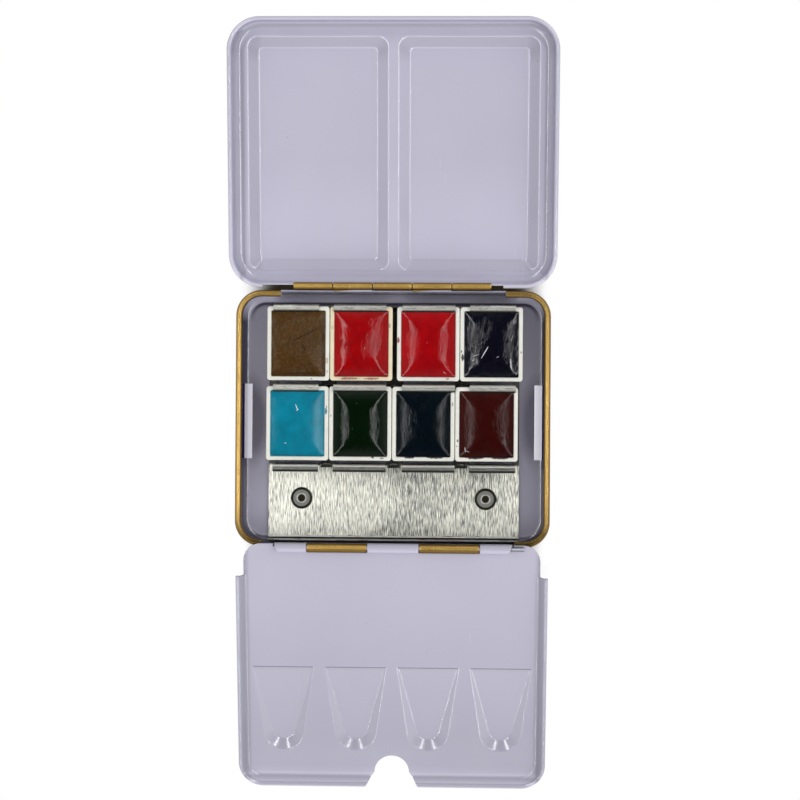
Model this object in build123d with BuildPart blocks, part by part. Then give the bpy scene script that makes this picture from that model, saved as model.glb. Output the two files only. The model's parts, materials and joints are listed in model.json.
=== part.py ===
from build123d import *
import math
import os

# A pocket watercolour tin, lying open: a drawn tin tray with eight half pans under
# spring clips, a lid with two mixing wells and a fold-out palette. Millimetres.
# Origin: middle of the tray's underside. +Y: lid side. -Y: palette side. +Z: up.

os.makedirs("parts", exist_ok=True)

# Sheet metal
tin = 0.35
seam = 0.15

# Half pans and paint cakes
pan_length = 18.9
pan_width = 15.9
pan_height = 9.95
pan_gap = 0.15
pan_row_gap = 1.45
pan_corner = 0.75
pan_rim = 1.0
pan_rim_height = 1.3
pan_rim_lip = 0.3
pan_draft = 0.55
pan_floor = 1.1
pan_rim_round = 0.3
cup_corner = 0.4
paint_clearance = 0.03
paint_drop = 0.7
paint_dish = 1.1
paint_dish_border = 4.6
paint_edge = 0.5
column_count = 4
row_count = 3
column_pitch = pan_width + pan_gap
row_pitch = pan_length + pan_row_gap

# Which pans are in the tin: the gap down the middle and sideways set of each row
row_middle_gap = (1.0, 0.0)
row_shift = (0.42, -0.22)

# Clip insert, one plate with a spring bar behind each pan
plate_sheet = 0.4
plate_side_play = 0.35
bar_reach = ((-1.5, -0.925, 11.6), (-0.5, -0.725, 13.4), (0.5, 0.725, 13.4), (1.5, 0.925, 11.6))
bar_x = 0.35
bar_diameter = 2.0
bar_behind_pan = 0.15
bar_over_pan = 0.05
lip_radius = 0.8
lip_height = 2.0
lip_pan_clearance = 0.1
lug_set_out = 1.35
lug_radius = 1.7
lug_lean = 35.0
lug_before_pan = 0.75
plate_length = column_count * column_pitch + 2 * plate_side_play

# Hollow rivets through plate and tray floor
rivet_before_row = 0.89
rivet_from_plate_end = 8.6
rivet_shank = 3.0
rivet_bore = 1.5
rivet_head = 5.6
rivet_land = 4.3
rivet_head_height = 0.6
rivet_foot = 4.4
rivet_foot_height = 0.4
rivet_clearance = 0.04
dimple_diameter = 8.0
dimple_height = 0.6

# Tray
plate_end_clearance = 7.55
tray_front_margin = 0.36
tray_back_margin = 3.69
base_length = plate_length + 2 * plate_end_clearance
base_width = row_count * row_pitch + tray_front_margin + tray_back_margin
base_height = 12.5
base_corner = 6.5
foot_radius = 2.35
base_curl = 1.65
curl_tuck = 0.2
back_curl_return = 11.4
front_curl_left = 6.6
front_curl_right = 9.3

# Side tongues, cut from the side walls and bent inwards
tongue_length = 19.4
tongue_y = -0.8
tongue_root = 10.3
tongue_height = 8.6
tongue_bend = 2.0
tongue_reach = 3.95
tongue_window = 4.3

# Lid hinge: five knuckles on one pin
lid_knuckle = 1.95
lid_knuckle_sheet = 0.3
lid_pin_clearance = 0.07
lid_knuckle_length = 9.8
lid_knuckle_gap = 0.25
lid_axis_lift = 0.9
lid_hinge_x = -0.2
lid_web_meets = (240.0, 260.0)

# Palette hinge: two knuckles of the tray between three of the palette
palette_knuckle = 2.4
palette_pin_clearance = 0.07
tray_knuckle_length = 15.0
centre_knuckle = 12.9
palette_outer_knuckle = 8.2
knuckle_slant = 1.1
pin_tail = 3.0
pin_tail_diameter = 1.0
palette_knuckle_gap = 0.25
palette_axis_out = 0.2
palette_hinge_x = 0.4
ear_clearance = 0.05
hinge_wall_clearance = 0.25

# Lid
lid_side_overhang = 1.75
lid_front_overhang = 2.2
lid_back_overhang = 0.6
lid_length = base_length + 2 * lid_side_overhang
lid_width = base_width + lid_front_overhang + lid_back_overhang
lid_corner = 8.4
lid_curl = 1.1
lid_depth = 5.5
lid_taper = 3.0
lid_edge_radius = 2.2
lid_open_tilt = 8.3
lid_rest_clearance = 0.15
lid_curl_return_left = 8.65
lid_curl_return_right = 13.65
well_depth = 1.8
well_rib = 2.7
well_side_margin = 3.6
well_back_margin = 2.9
well_front_margin = 3.6
well_slope = 2.75
well_corner = 2.6
well_floor_corner = 1.1
well_bend = 0.8

# Palette
palette_side_set_in = 0.4
palette_front_set_in = 1.15
palette_length = base_length - 2 * palette_side_set_in
palette_reach = base_width - palette_front_set_in
palette_corner = 6.3
palette_curl = 1.1
palette_wall_lean = 1.2
palette_bend = 0.7
palette_flange_start = 7.5
palette_rest_clearance = 0.05
ear_reach = 0.75
ear_corner = 4.5
ear_inset = 1.6
ear_slit = 0.4
dish_count = 4
dish_side_margin = 2.3
dish_gap = 2.75
dish_far_margin = 9.45
dish_reach = 22.6
dish_floor_width = 5.2
dish_mouth_width = 10.6
dish_depth = 1.6
dish_step = 0.2
notch_radius = 4.5
notch_mouth = 14.0
notch_depth = 8.0

# Worked out from the sizes above
curl_height = base_height - base_curl / 2
wall_top = curl_height - curl_tuck
wall_y = (base_width - tin) / 2
lid_axis_y = base_width / 2 + lid_knuckle / 2
lid_axis_z = base_height + lid_axis_lift
palette_axis_y = -base_width / 2 - palette_axis_out
palette_axis_z = base_height + palette_knuckle / 2 + ear_clearance
lid_rim = palette_axis_z + palette_knuckle / 2 + lid_rest_clearance - lid_axis_z
panel_face = palette_knuckle / 2 - tin
flange_height = palette_axis_z + panel_face - base_height - palette_rest_clearance
flange_width = palette_curl + palette_wall_lean
panel_reach = palette_reach - flange_width
panel_half = palette_length / 2 - flange_width
palette_wall_height = flange_height - palette_curl / 2
palette_wall_angle = math.atan2(palette_wall_height, palette_wall_lean)

# The open palette stands on the bend along its far edge
far_bend = palette_bend + tin
far_bend_reach = panel_reach + (tin - far_bend) * math.tan(palette_wall_angle / 2)
far_bend_drop = palette_knuckle / 2 - far_bend
far_bend_radius = math.hypot(far_bend_reach, far_bend_drop)
palette_open_tilt = math.degrees(
    math.asin((palette_axis_z - far_bend) / far_bend_radius)
    - math.atan2(far_bend_drop, far_bend_reach)
)
plate_z = tin + dimple_height
plate_top = plate_z + plate_sheet
rim_z = plate_top + pan_height
bar_axis_z = rim_z + bar_over_pan
first_row_y = wall_y - tin / 2 - tray_back_margin - pan_length / 2
row_y = [first_row_y - row_pitch * row for row in range(row_count)]
strip_y = [y + pan_length / 2 + bar_behind_pan for y in row_y]
lip_y = row_y[-1] - pan_length / 2 - lip_pan_clearance

tray_lid_hinge = Plane((lid_hinge_x, lid_axis_y, lid_axis_z), x_dir=(1, 0, 0), z_dir=(0, 0, 1))
tray_palette_hinge = Plane(
    (palette_hinge_x, palette_axis_y, palette_axis_z), x_dir=(1, 0, 0), z_dir=(0, 0, 1)
)


def tilted(hinge, degrees):
    """The hinge's own frame, tipped about its pin by an angle."""
    angle = math.radians(degrees)
    return Plane(hinge.origin, x_dir=(1, 0, 0), z_dir=(0, -math.sin(angle), math.cos(angle)))


lid_frame = tilted(tray_lid_hinge, lid_open_tilt)
palette_frame = tilted(tray_palette_hinge, palette_open_tilt)


def across(frame, x):
    """A plane square to the hinge pin, x along it, that looks from +X."""
    return Plane(frame.from_local_coords((x, 0, 0)), x_dir=frame.y_dir, z_dir=frame.x_dir)


def knuckle(frame, x, length, diameter, sheet, seam_angle):
    """A tab of sheet rolled round the pin, with the slit where its end meets it."""
    with BuildSketch(across(frame, x)) as profile:
        Circle(diameter / 2)
        Circle(diameter / 2 - sheet, mode=Mode.SUBTRACT)
        with Locations(Rotation(0, 0, seam_angle)):
            Rectangle(diameter, seam, align=(Align.MIN, Align.CENTER), mode=Mode.SUBTRACT)
    extrude(profile.sketch, amount=length / 2, both=True)


def web(frame, x, length, corners):
    """The flat of sheet that joins a knuckle to its wall, drawn in the hinge's frame."""
    with BuildSketch(across(frame, x)) as profile:
        with BuildLine():
            Polyline(*corners, close=True)
        make_face()
    extrude(profile.sketch, amount=length / 2, both=True)


def rolled_edge(start_plane, path_line, diameter):
    """A rolled edge: hollow, of the sheet's thickness, along the path."""
    with BuildSketch(start_plane) as profile:
        Circle(diameter / 2)
        Circle(diameter / 2 - tin, mode=Mode.SUBTRACT)
    sweep(profile.sketch, path=path_line)


lid_pitch = lid_knuckle_length + lid_knuckle_gap
lid_web_foot = lid_rim + lid_curl / 2 - curl_tuck
tray_knuckle_x = (centre_knuckle + tray_knuckle_length) / 2 + palette_knuckle_gap
tray_knuckles = (-tray_knuckle_x, tray_knuckle_x)
outer_knuckle_x = (
    tray_knuckle_x + (tray_knuckle_length + palette_outer_knuckle) / 2 + palette_knuckle_gap
)
dish_pitch = (palette_length - 2 * dish_side_margin) / dish_count
dish_end = palette_reach - dish_far_margin
dish_crease = dish_end - dish_reach

# Tray
with BuildPart() as base_tray:
    with BuildSketch():
        RectangleRounded(base_length, base_width, base_corner)
    extrude(amount=wall_top)
    fillet(base_tray.faces().sort_by(Axis.Z)[0].edges(), foot_radius)
    offset(amount=-tin, openings=base_tray.faces().sort_by(Axis.Z)[-1])

    # Rolled edge, left out along both hinges
    roll_x = (base_length - base_curl) / 2
    roll_y = (base_width - base_curl) / 2
    back_curl_end = base_length / 2 - back_curl_return
    front_left = front_curl_left - base_length / 2 + palette_hinge_x
    front_right = base_length / 2 - front_curl_right + palette_hinge_x
    for side, front_end in ((-1, front_left), (1, front_right)):
        with BuildLine(Plane.XY.offset(curl_height), mode=Mode.PRIVATE) as roll:
            FilletPolyline(
                (side * back_curl_end, roll_y),
                (side * roll_x, roll_y),
                (side * roll_x, -roll_y),
                (front_end, -roll_y),
                radius=base_corner - base_curl / 2,
            )
        start = Plane(roll.line @ 0, z_dir=roll.line % 0)
        rolled_edge(start, roll.line, base_curl)

    # Plain walls along the hinges
    front_wall_top = palette_axis_z - palette_knuckle / 2 - hinge_wall_clearance
    back_wall_top = lid_axis_z - lid_knuckle / 2 - hinge_wall_clearance
    with Locations(((front_left + front_right) / 2, -wall_y, wall_top)):
        Box(
            front_right - front_left, tin, front_wall_top - wall_top,
            align=(Align.CENTER, Align.CENTER, Align.MIN),
        )
    with Locations((0, wall_y, wall_top)):
        Box(
            2 * back_curl_end, tin, back_wall_top - wall_top,
            align=(Align.CENTER, Align.CENTER, Align.MIN),
        )

    # Knuckles of the palette hinge, rolled from the front wall
    wall_in = tin / 2 - wall_y - palette_axis_y
    wall_out = wall_in - tin
    web_top = -(palette_knuckle / 2 - tin / 2)
    for x in tray_knuckles:
        web(tray_palette_hinge, x, tray_knuckle_length, [
            (wall_in, wall_top - palette_axis_z),
            (wall_in, web_top),
            (wall_out, web_top),
            (wall_out, wall_top - palette_axis_z),
        ])
        knuckle(tray_palette_hinge, x, tray_knuckle_length, palette_knuckle, tin, -20)

    # Knuckles of the lid hinge, rolled from the back wall
    back_in = wall_y - tin / 2 - lid_axis_y
    back_out = back_in + tin
    roll_mid = lid_knuckle / 2 - lid_knuckle_sheet / 2
    into_roll = [
        (roll_mid * math.cos(math.radians(angle)), roll_mid * math.sin(math.radians(angle)))
        for angle in lid_web_meets
    ]
    for x in (-lid_pitch, lid_pitch):
        web(tray_lid_hinge, x, lid_knuckle_length, [
            (back_in, wall_top - lid_axis_z),
            (back_in, back_wall_top - lid_axis_z),
            *into_roll,
            (back_out, wall_top - lid_axis_z + tin),
            (back_out, wall_top - lid_axis_z),
        ])
        knuckle(tray_lid_hinge, x, lid_knuckle_length, lid_knuckle, lid_knuckle_sheet, 200)

    # Side tongues and the windows that they were bent out of
    wall_face = base_length / 2 - tin
    for side in (-1, 1):
        with Locations((side * base_length / 2, tongue_y, tongue_root)):
            Box(
                4 * tin, tongue_length, tongue_window,
                align=(Align.CENTER, Align.CENTER, Align.MAX), mode=Mode.SUBTRACT,
            )
        with BuildSketch(Plane.XZ.offset(-tongue_y)):
            with BuildLine():
                Polyline(
                    (side * (wall_face + tin), tongue_root + tin / 2),
                    (side * wall_face, tongue_root + tin / 2),
                    (side * (base_length / 2 - tongue_bend), tongue_height),
                    (side * (base_length / 2 - tongue_reach), tongue_height),
                    (side * (base_length / 2 - tongue_reach), tongue_height - tin),
                    (side * (base_length / 2 - tongue_bend + tin), tongue_height - tin),
                    (side * (wall_face + tin), tongue_root - tin),
                    close=True,
                )
            make_face()
        extrude(amount=tongue_length / 2 - seam, both=True)

    # Dimples that lift the plate, with room for the rivets' feet below
    rivet_x = plate_length / 2 - rivet_from_plate_end
    rivet_places = [(side * rivet_x, row_y[-1] + rivet_before_row) for side in (-1, 1)]
    with BuildSketch(Plane.XY.offset(tin / 2)):
        with Locations(*rivet_places):
            Circle(dimple_diameter / 2 + tin)
    extrude(amount=dimple_height + tin / 2, taper=30)
    with BuildSketch():
        with Locations(*rivet_places):
            Circle(dimple_diameter / 2)
    extrude(amount=dimple_height, taper=30, mode=Mode.SUBTRACT)
    with BuildSketch():
        with Locations(*rivet_places):
            Circle(rivet_shank / 2 + rivet_clearance)
    extrude(amount=base_height / 2, mode=Mode.SUBTRACT)

# Plate with spring bars, lugs between the columns and a turned-up front edge
with BuildPart() as clip_insert:
    plate_back = strip_y[0] + plate_sheet
    flat_front = lip_y + lip_radius
    with BuildSketch(Plane.XY.offset(plate_z)):
        with Locations((0, (plate_back + flat_front) / 2)):
            Rectangle(plate_length, plate_back - flat_front)
        with Locations(*rivet_places):
            Circle(rivet_shank / 2 + rivet_clearance, mode=Mode.SUBTRACT)
    extrude(amount=plate_sheet)

    # Front edge
    with BuildSketch(Plane.YZ):
        with BuildLine():
            Line((flat_front, plate_z), (flat_front, plate_top))
            inner_bend = CenterArc((flat_front, plate_top + lip_radius), lip_radius, 270, -90)
            Line(inner_bend @ 1, (lip_y, plate_top + lip_height))
            Line((lip_y, plate_top + lip_height), (lip_y - plate_sheet, plate_top + lip_height))
            Line((lip_y - plate_sheet, plate_top + lip_height),
                 (lip_y - plate_sheet, plate_top + lip_radius))
            CenterArc(
                (flat_front, plate_top + lip_radius), lip_radius + plate_sheet, 180, 90
            )
        make_face()
    extrude(amount=plate_length / 2, both=True)

    # Spring bars: a strip that rises behind each pan and rolls over its rim
    bar_in = bar_diameter / 2 - plate_sheet
    bar_developed = bar_axis_z - plate_top + math.pi * (bar_diameter - plate_sheet) / 2
    for y in strip_y:
        roll_y = y + plate_sheet - bar_diameter / 2
        for column, set_out, length in bar_reach:
            x = bar_x + column * column_pitch + set_out
            if y != strip_y[0]:
                with Locations((x, y + plate_sheet, plate_z)):
                    Box(
                        length, bar_developed, 4 * plate_sheet,
                        align=(Align.CENTER, Align.MIN, Align.CENTER), mode=Mode.SUBTRACT,
                    )
            with BuildSketch(Plane.YZ.offset(x)):
                with BuildLine():
                    Line((y, plate_z), (y + plate_sheet, plate_z))
                    Line((y + plate_sheet, plate_z), (y + plate_sheet, bar_axis_z))
                    CenterArc((roll_y, bar_axis_z), bar_diameter / 2, 0, 180)
                    Line((roll_y - bar_diameter / 2, bar_axis_z), (roll_y - bar_in, bar_axis_z))
                    CenterArc((roll_y, bar_axis_z), bar_in, 180, -180)
                    Line((roll_y + bar_in, bar_axis_z), (y, plate_z))
                make_face()
            extrude(amount=length / 2, both=True)

    # Half-round lugs between the columns
    lean = math.radians(lug_lean)
    for y in row_y:
        for x in (-column_pitch - lug_set_out, 0, column_pitch + lug_set_out):
            lug_plane = Plane(
                (x, y + pan_length / 2 - lug_before_pan, plate_top - plate_sheet / 4),
                x_dir=(1, 0, 0), z_dir=(0, -math.cos(lean), math.sin(lean)),
            )
            with BuildSketch(lug_plane):
                with BuildLine():
                    CenterArc((0, 0), lug_radius, 0, 180)
                    Line((-lug_radius, 0), (lug_radius, 0))
                make_face()
            extrude(amount=-plate_sheet)

# Two hollow rivets
with BuildPart() as clip_rivets:
    foot_z = dimple_height - rivet_foot_height
    head_z = plate_top + rivet_head_height
    for x, y in rivet_places:
        with BuildSketch(Plane((x, y, 0), x_dir=(1, 0, 0), z_dir=(0, -1, 0))):
            with BuildLine():
                Polyline(
                    (rivet_bore / 2, foot_z),
                    (rivet_foot / 2, foot_z),
                    (rivet_foot / 2, dimple_height),
                    (rivet_shank / 2, dimple_height),
                    (rivet_shank / 2, plate_top),
                    (rivet_head / 2, plate_top),
                    (rivet_head / 2, plate_top + rivet_head_height / 2),
                    (rivet_land / 2, head_z),
                    (rivet_bore, head_z),
                    (rivet_bore / 2, head_z - rivet_head_height / 3),
                    close=True,
                )
            make_face()
        revolve(axis=Axis((x, y, 0), (0, 0, 1)))

# Half pans and the paint cast in them
pan_places = []
for y, middle, shift in zip(row_y, row_middle_gap, row_shift):
    for column in (-1.5, -0.5, 0.5, 1.5):
        side = math.copysign(middle / 2, column)
        pan_places.append((column * column_pitch + side + shift, y))

pans = []
paints = []
cup_width = pan_width - 2 * pan_rim
cup_length = pan_length - 2 * pan_rim
cup_bottom = plate_top + pan_floor
cup_depth = rim_z - cup_bottom
for x, y in pan_places:
    with BuildPart() as pan:
        lip_z = rim_z - pan_rim_height
        body_width = pan_width - 2 * pan_rim_lip
        body_length = pan_length - 2 * pan_rim_lip
        with BuildSketch(Plane.XY.offset(plate_top)):
            with Locations((x, y)):
                RectangleRounded(
                    body_width - 2 * pan_draft, body_length - 2 * pan_draft, pan_corner - pan_rim_lip
                )
        with BuildSketch(Plane.XY.offset(lip_z)):
            with Locations((x, y)):
                RectangleRounded(body_width, body_length, pan_corner - pan_rim_lip)
        loft(ruled=True)
        with BuildSketch(Plane.XY.offset(lip_z)):
            with Locations((x, y)):
                RectangleRounded(pan_width, pan_length, pan_corner)
        extrude(amount=pan_rim_height)
        with BuildSketch(Plane.XY.offset(cup_bottom)):
            with Locations((x, y)):
                RectangleRounded(cup_width - 2 * pan_draft, cup_length - 2 * pan_draft, cup_corner)
        with BuildSketch(Plane.XY.offset(rim_z)):
            with Locations((x, y)):
                RectangleRounded(cup_width, cup_length, cup_corner)
        loft(ruled=True, mode=Mode.SUBTRACT)
        fillet(pan.faces().sort_by(Axis.Z)[-1].edges(), pan_rim_round)
    pans.append(pan)

    with BuildPart() as paint:
        shrink = 2 * (pan_draft + paint_clearance)
        top = rim_z - paint_drop
        flare = 2 * pan_draft * paint_drop / cup_depth + 2 * paint_clearance
        with BuildSketch(Plane.XY.offset(cup_bottom)):
            with Locations((x, y)):
                RectangleRounded(cup_width - shrink, cup_length - shrink, cup_corner)
        with BuildSketch(Plane.XY.offset(top)):
            with Locations((x, y)):
                RectangleRounded(cup_width - flare, cup_length - flare, cup_corner)
        loft(ruled=True)
        for inset, drop in ((paint_edge, 0), (paint_dish_border, paint_dish)):
            with BuildSketch(Plane.XY.offset(top - drop)):
                with Locations((x, y)):
                    RectangleRounded(
                        cup_width - flare - 2 * inset, cup_length - flare - 2 * inset, cup_corner
                    )
        loft(ruled=True, mode=Mode.SUBTRACT)
    paints.append(paint)

# Lid and palette are drawn flat, with their hinge pin along X through the origin
flat = Plane.XY
lid_back = -lid_back_overhang


def lid_block(inset):
    """The lid's pressed shape as a block, drawn in by an even distance."""
    edge = lid_curl - tin + inset
    with BuildPart() as block:
        with BuildSketch(flat.offset(-lid_web_foot)):
            with Locations((0, lid_back + lid_width / 2)):
                RectangleRounded(lid_length - 2 * edge, lid_width - 2 * edge, lid_corner - edge)
        extrude(amount=lid_web_foot - lid_rim - lid_depth - tin + inset, taper=lid_taper)
        outside = block.faces().sort_by(Axis.Z)[0]
        fillet(outside.edges(), lid_edge_radius - inset)
    return block.part


# Lid
with BuildPart() as lid:
    add(lid_block(0))
    add(lid_block(tin), mode=Mode.SUBTRACT)

    # Two mixing wells pressed outwards
    panel = lid_rim + lid_depth
    well_width = (lid_length - 2 * lid_curl - 2 * well_side_margin - well_rib) / 2
    well_length = lid_width - 2 * lid_curl - well_back_margin - well_front_margin
    well_middle = lid_back + lid_curl + well_back_margin + well_length / 2
    well_angle = math.atan2(well_depth, well_slope)
    for side in (-1, 1):
        place = (side * (well_rib + well_width) / 2, well_middle)
        for sheet, mode in ((tin, Mode.ADD), (0, Mode.SUBTRACT)):
            mouth = sheet / math.sin(well_angle)
            floor = sheet * math.tan(well_angle / 2)
            with BuildSketch(flat.offset(-panel)):
                with Locations(place):
                    RectangleRounded(
                        well_width + 2 * mouth, well_length + 2 * mouth, well_corner + mouth
                    )
            with BuildSketch(flat.offset(-panel - well_depth - sheet)):
                with Locations(place):
                    RectangleRounded(
                        well_width - 2 * (well_slope - floor),
                        well_length - 2 * (well_slope - floor),
                        well_floor_corner + floor,
                    )
            loft(ruled=True, mode=mode)
            bends = lid.edges(Select.LAST).group_by(Axis.Z)
            fillet(bends[0], well_bend + sheet)
        mouth_edges = lid.edges().filter_by_position(Axis.Z, -panel - seam / 2, -panel + seam / 2)
        fillet(
            mouth_edges.filter_by(
                lambda edge: abs(edge.center().X - place[0]) < well_width / 2 + seam
                and abs(edge.center().Y - place[1]) < well_length / 2 + seam
            ),
            well_bend,
        )

    # Rolled edge on all but the hinge's stretch
    roll_low = lid_back + lid_curl / 2
    roll_high = roll_low + lid_width - lid_curl
    roll_side = (lid_length - lid_curl) / 2
    with BuildLine(flat.offset(-lid_rim - lid_curl / 2), mode=Mode.PRIVATE) as roll:
        FilletPolyline(
            (lid_curl_return_left - lid_length / 2, roll_low),
            (-roll_side, roll_low),
            (-roll_side, roll_high),
            (roll_side, roll_high),
            (roll_side, roll_low),
            (lid_length / 2 - lid_curl_return_right, roll_low),
            radius=lid_corner - lid_curl / 2,
        )
    start = Plane(roll.line @ 0, z_dir=roll.line % 0)
    rolled_edge(start, roll.line, lid_curl)

    # Hinge side: plain wall and three knuckles
    face_in = lid_back + lid_curl
    face_out = face_in - tin
    plain_length = lid_length - lid_curl_return_left - lid_curl_return_right
    web(flat, (lid_curl_return_left - lid_curl_return_right) / 2, plain_length, [
        (face_out, -lid_web_foot),
        (face_in, -lid_web_foot),
        (face_in, -lid_rim),
        (face_out, -lid_rim),
    ])
    for x in (-2 * lid_pitch, 0, 2 * lid_pitch):
        web(flat, x, lid_knuckle_length, [
            (face_out, -lid_web_foot),
            (face_in, -lid_web_foot),
            (face_in, -roll_mid),
            (face_out, -roll_mid),
        ])
        knuckle(flat, x, lid_knuckle_length, lid_knuckle, lid_knuckle_sheet, -20)


def dish(sheet):
    """A dish's hollow, or its outside when given the sheet: it falls from the crease."""
    lean = math.degrees(math.atan((dish_mouth_width - dish_floor_width) / 2 / dish_depth))
    grow = sheet / math.cos(math.radians(lean))
    half = (dish_pitch - dish_gap) / 2 + grow
    end = dish_mouth_width / 2 + grow
    end_y = -dish_end + dish_mouth_width / 2
    with BuildPart() as hollow:
        with BuildSketch(flat.offset(-panel_face)):
            with BuildLine():
                Line((-half, -dish_crease), (-end, end_y))
                CenterArc((0, end_y), end, 180, 180)
                Line((end, end_y), (half, -dish_crease))
                Line((half, -dish_crease), (-half, -dish_crease))
            make_face()
        extrude(amount=-dish_depth - sheet, taper=lean)
        with BuildSketch(Plane.YZ):
            with BuildLine():
                Polyline(
                    (-dish_crease, -panel_face + tin),
                    (-dish_crease, -panel_face - sheet - dish_step),
                    (-dish_end, -panel_face - sheet - dish_depth),
                    (-palette_reach, -panel_face - sheet - dish_depth),
                    (-palette_reach, -panel_face + tin),
                    close=True,
                )
            make_face()
        extrude(amount=dish_pitch, both=True, mode=Mode.INTERSECT)
    return hollow.part


# Fold-out palette
with BuildPart() as palette:
    panel_under = -palette_knuckle / 2
    far_corner = palette_corner - palette_curl
    centre_x = -palette_hinge_x
    for sheet, mode in ((tin, Mode.ADD), (0, Mode.SUBTRACT)):
        foot = sheet * math.tan(palette_wall_angle / 2)
        brim = palette_wall_lean + sheet / math.sin(palette_wall_angle)
        with BuildSketch(flat.offset(-panel_face - sheet)):
            with Locations((centre_x, -panel_reach / 2)):
                RectangleRounded(
                    2 * (panel_half + foot),
                    panel_reach + 2 * foot,
                    far_corner - palette_wall_lean + foot,
                )
        with BuildSketch(flat.offset(-panel_face + palette_wall_height)):
            with Locations((centre_x, -panel_reach / 2)):
                RectangleRounded(
                    2 * (panel_half + brim),
                    panel_reach + 2 * brim,
                    far_corner - palette_wall_lean + brim,
                )
        loft(ruled=True, mode=mode)
        fillet(palette.edges(Select.LAST).group_by(Axis.Z)[0], palette_bend + sheet)
    with BuildSketch(flat.offset(-palette_knuckle)):
        with Locations((centre_x, -palette_flange_start)):
            Rectangle(2 * palette_length, palette_reach, align=(Align.CENTER, Align.MIN))
    extrude(amount=4 * palette_knuckle, mode=Mode.SUBTRACT)

    # Rolled edge on three sides
    roll_half = (palette_length - palette_curl) / 2
    roll_far = -(palette_reach - palette_curl / 2)
    with BuildLine(flat.offset(-panel_face + palette_wall_height), mode=Mode.PRIVATE) as roll:
        FilletPolyline(
            (centre_x - roll_half, -palette_flange_start),
            (centre_x - roll_half, roll_far),
            (centre_x + roll_half, roll_far),
            (centre_x + roll_half, -palette_flange_start),
            radius=palette_corner - palette_curl / 2,
        )
    start = Plane(roll.line @ 0, z_dir=roll.line % 0)
    rolled_edge(start, roll.line, palette_curl)

    # Hinge end of the panel: ears outside the knuckles, notches for the tray's knuckles
    ear_half = panel_half + palette_wall_lean - ear_inset / 2
    knuckle_end = outer_knuckle_x + palette_outer_knuckle / 2
    with BuildSketch(flat.offset(panel_under)) as hinge_end:
        with Locations((centre_x, ear_reach)):
            Rectangle(
                2 * ear_half, palette_flange_start + ear_reach + 1, align=(Align.CENTER, Align.MAX)
            )
        fillet(hinge_end.vertices().group_by(Axis.Y)[-1], ear_corner)
        Rectangle(
            2 * (knuckle_end + ear_slit), 2 * ear_reach,
            align=(Align.CENTER, Align.MIN), mode=Mode.SUBTRACT,
        )
        with Locations(*[(x, 0) for x in tray_knuckles]):
            Rectangle(
                tray_knuckle_length + 2 * palette_knuckle_gap,
                palette_knuckle + 2 * palette_knuckle_gap, mode=Mode.SUBTRACT,
            )
    extrude(amount=tin)
    for x, length in (
        (-outer_knuckle_x, palette_outer_knuckle),
        (0, centre_knuckle),
        (outer_knuckle_x, palette_outer_knuckle),
    ):
        knuckle(flat, x, length, palette_knuckle, tin, 210)

    # Slanted ends of the two outer knuckles
    with BuildSketch(flat.offset(-panel_face)):
        for side in (-1, 1):
            with BuildLine():
                Polyline(
                    (side * knuckle_end, palette_knuckle / 2 + seam),
                    (side * (knuckle_end - knuckle_slant), -palette_knuckle / 2 - seam),
                    (side * (knuckle_end + seam), -palette_knuckle / 2 - seam),
                    (side * (knuckle_end + seam), palette_knuckle / 2 + seam),
                    close=True,
                )
            make_face()
    extrude(amount=palette_knuckle, mode=Mode.SUBTRACT)

    # Four dishes
    dishes = [(centre_x + column * dish_pitch, 0) for column in (-1.5, -0.5, 0.5, 1.5)]
    for place in dishes:
        add(Pos(*place) * dish(tin))
        add(Pos(*place) * dish(0), mode=Mode.SUBTRACT)

    # Thumb notch in the far edge
    with BuildSketch(flat.offset(-2 * palette_knuckle)):
        with Locations((centre_x, -(palette_reach - notch_depth + notch_radius))):
            Circle(notch_radius)
        with BuildLine():
            Polyline(
                (centre_x - notch_radius, -(palette_reach - notch_depth + notch_radius)),
                (centre_x + notch_radius, -(palette_reach - notch_depth + notch_radius)),
                (centre_x + notch_mouth / 2, -palette_reach),
                (centre_x + notch_mouth / 2, -palette_reach - palette_curl),
                (centre_x - notch_mouth / 2, -palette_reach - palette_curl),
                (centre_x - notch_mouth / 2, -palette_reach),
                close=True,
            )
        make_face()
    extrude(amount=4 * palette_knuckle, mode=Mode.SUBTRACT)

# Hinge pins
with BuildPart() as lid_hinge_pin:
    with BuildSketch(across(tray_lid_hinge, 0)):
        Circle(lid_knuckle / 2 - lid_knuckle_sheet - lid_pin_clearance)
    extrude(amount=(5 * lid_knuckle_length + 4 * lid_knuckle_gap) / 2, both=True)

with BuildPart() as palette_hinge_pin:
    with BuildSketch(across(tray_palette_hinge, 0)):
        Circle(palette_knuckle / 2 - tin - palette_pin_clearance)
    pin_end = outer_knuckle_x + palette_outer_knuckle / 2 - knuckle_slant
    extrude(amount=pin_end, both=True)
    with BuildSketch(across(tray_palette_hinge, pin_end)):
        Circle(pin_tail_diameter / 2)
    extrude(amount=knuckle_slant + pin_tail)

pieces = {
    "base_tray": base_tray.part,
    "clip_insert": clip_insert.part,
    "clip_rivets": clip_rivets.part,
    "lid": lid_frame.location * lid.part,
    "palette": palette_frame.location * palette.part,
    "lid_hinge_pin": lid_hinge_pin.part,
    "palette_hinge_pin": palette_hinge_pin.part,
}
for number, (pan, paint) in enumerate(zip(pans, paints), start=1):
    pieces[f"pan_{number}"] = pan.part
    pieces[f"paint_{number}"] = paint.part

for name, piece in pieces.items():
    piece.label = name
    export_step(piece, f"parts/{name}.step")
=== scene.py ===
import json
import math

import bpy
from bpy.props import FloatProperty, FloatVectorProperty, PointerProperty
from mathutils import Matrix, Vector

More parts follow.
